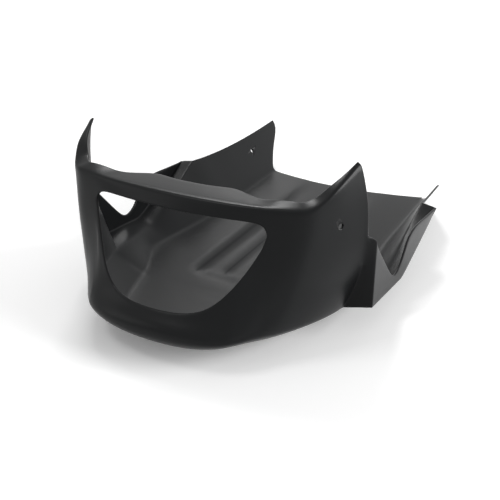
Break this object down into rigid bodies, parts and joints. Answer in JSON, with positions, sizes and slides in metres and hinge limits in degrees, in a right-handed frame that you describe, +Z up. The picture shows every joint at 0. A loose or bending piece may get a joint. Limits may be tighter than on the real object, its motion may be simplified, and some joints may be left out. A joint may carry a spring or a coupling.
{
  "type": "motorbike lower fairing",
  "caption": "Moulded lower fairing that wraps the underside of a motorbike engine, with a front air opening, side pods, rear wings and screw holes.",
  "frame": {"origin": "centre of the footprint, on the ground plane that the floor's channel rests on", "axes": "-Y towards the nose, +Z up, +X to the side of the short rear wing; the rest is mirrored about the plane X = 0"},
  "size_m": [0.386, 0.6417, 0.204],
  "materials": {
    "shell": "satin black moulded plastic"
  },
  "bodies": {
    "root": {"fairing": "shell"}
  },
  "joints": []
}
